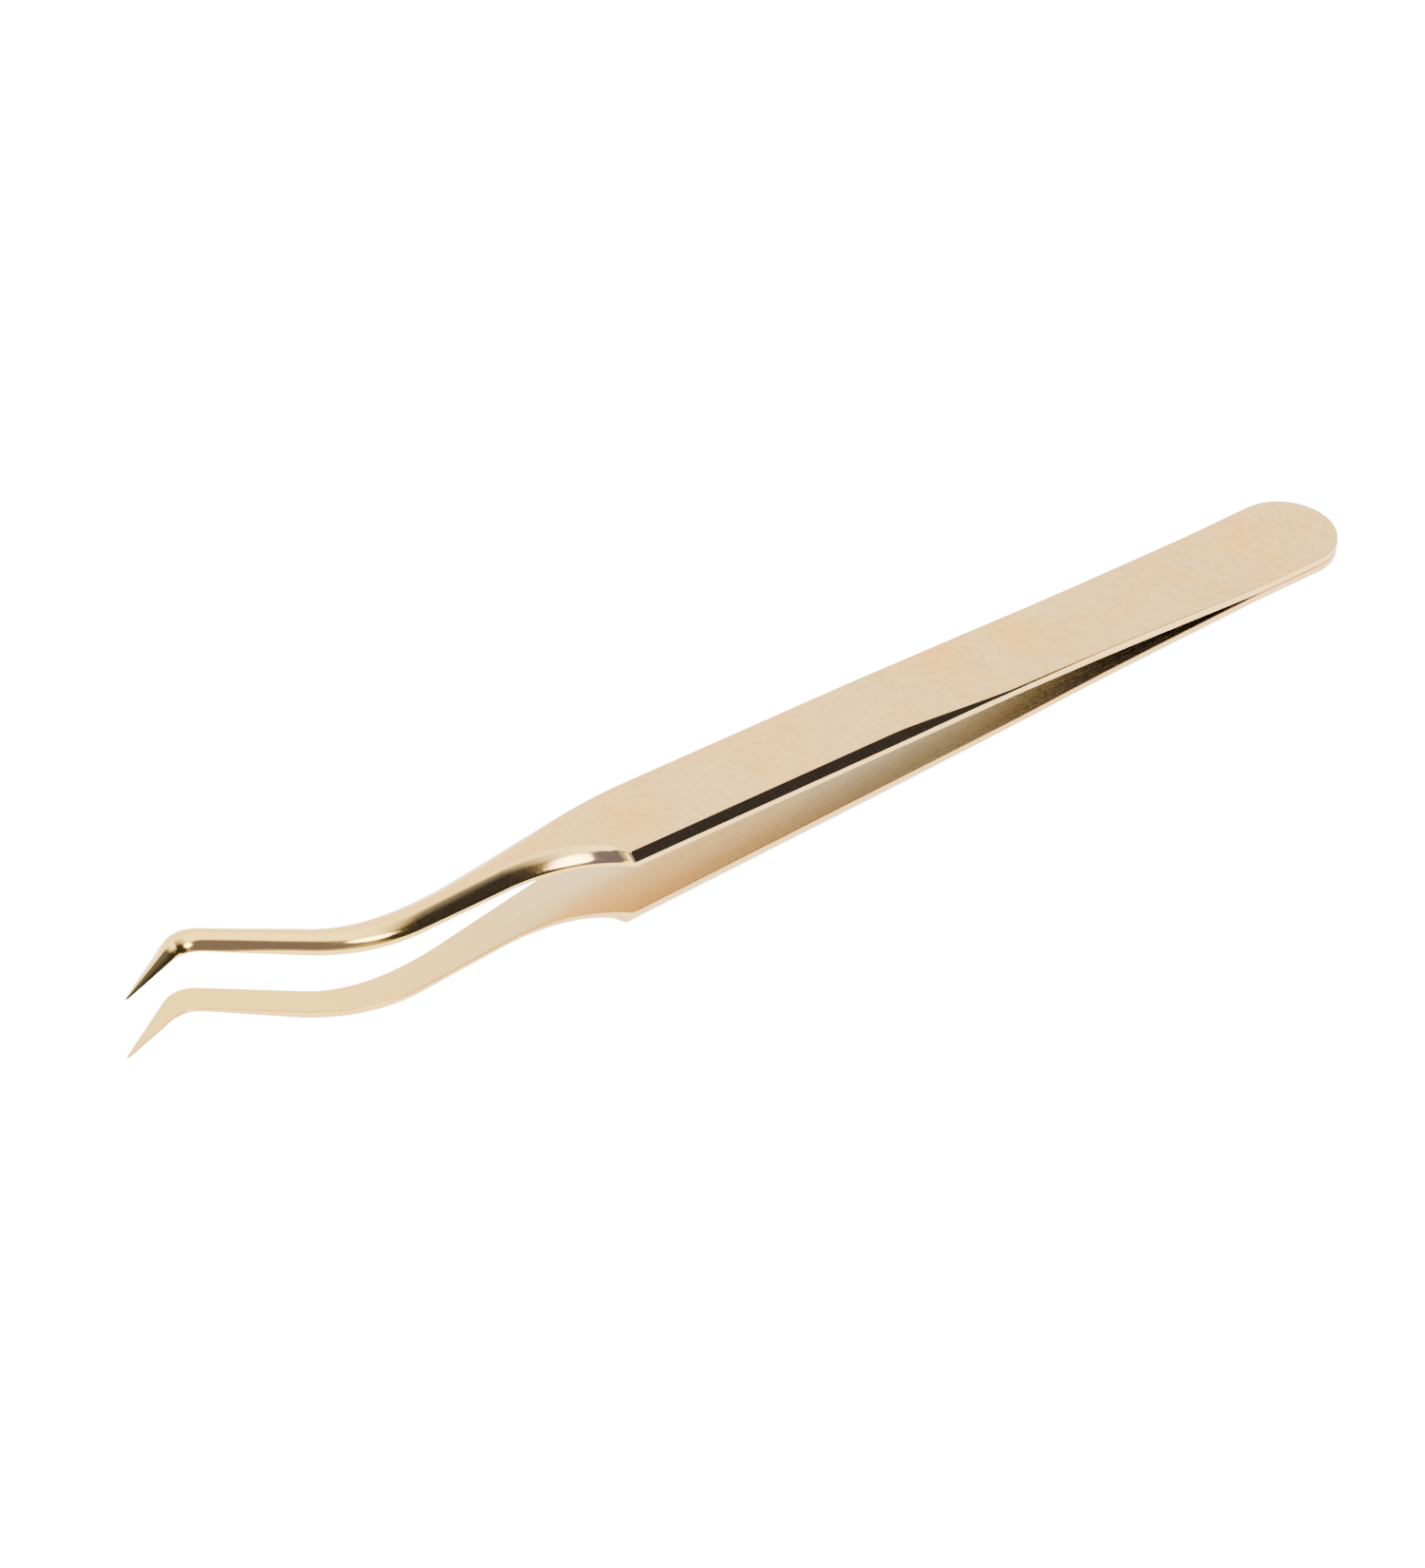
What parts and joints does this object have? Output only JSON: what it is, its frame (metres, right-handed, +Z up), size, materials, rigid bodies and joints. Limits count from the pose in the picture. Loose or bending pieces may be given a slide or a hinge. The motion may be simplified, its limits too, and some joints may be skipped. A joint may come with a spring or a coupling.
{
  "type": "stamp tongs",
  "caption": "Gold-plated spring-steel stamp tongs: two arms spot-welded at the heel, with bevelled grips and needle-fine side-bent points.",
  "frame": {"origin": "on the surface the tongs lie on, under the middle of their bounding box", "axes": "+X from the heel to the points, +Y towards the notched edge, +Z up, across the two arms"},
  "size_m": [0.12, 0.0148, 0.0084],
  "materials": {
    "gold_plated_steel": "satin gold plate on the outer faces, finely brushed inner faces, polished edges and neck",
    "weld_steel": "bare fused steel, hidden between the heels"
  },
  "bodies": {
    "heel": {"upper_heel": "gold_plated_steel", "lower_heel": "gold_plated_steel", "weld_nugget_rear": "weld_steel", "weld_nugget_front": "weld_steel"},
    "upper_arm": {"upper_blade": "gold_plated_steel"},
    "lower_arm": {"lower_blade": "gold_plated_steel"}
  },
  "joints": [
    {"name": "upper_flex", "type": "hinge", "parent": "heel", "child": "upper_arm", "pos_m": [-0.03552, 0.00284, 0.00321], "axis": [0, 1, 0], "range_deg": [0, 1.72], "stiffness_Nm_per_rad": 1.7},
    {"name": "lower_flex", "type": "hinge", "parent": "heel", "child": "lower_arm", "pos_m": [-0.03547, 0.00284, 0.00125], "axis": [0, -1, 0], "range_deg": [0, 1.72], "stiffness_Nm_per_rad": 1.7}
  ],
  "couplings": [
    {"joint": "lower_flex", "follows": "upper_flex", "ratio": 1}
  ]
}
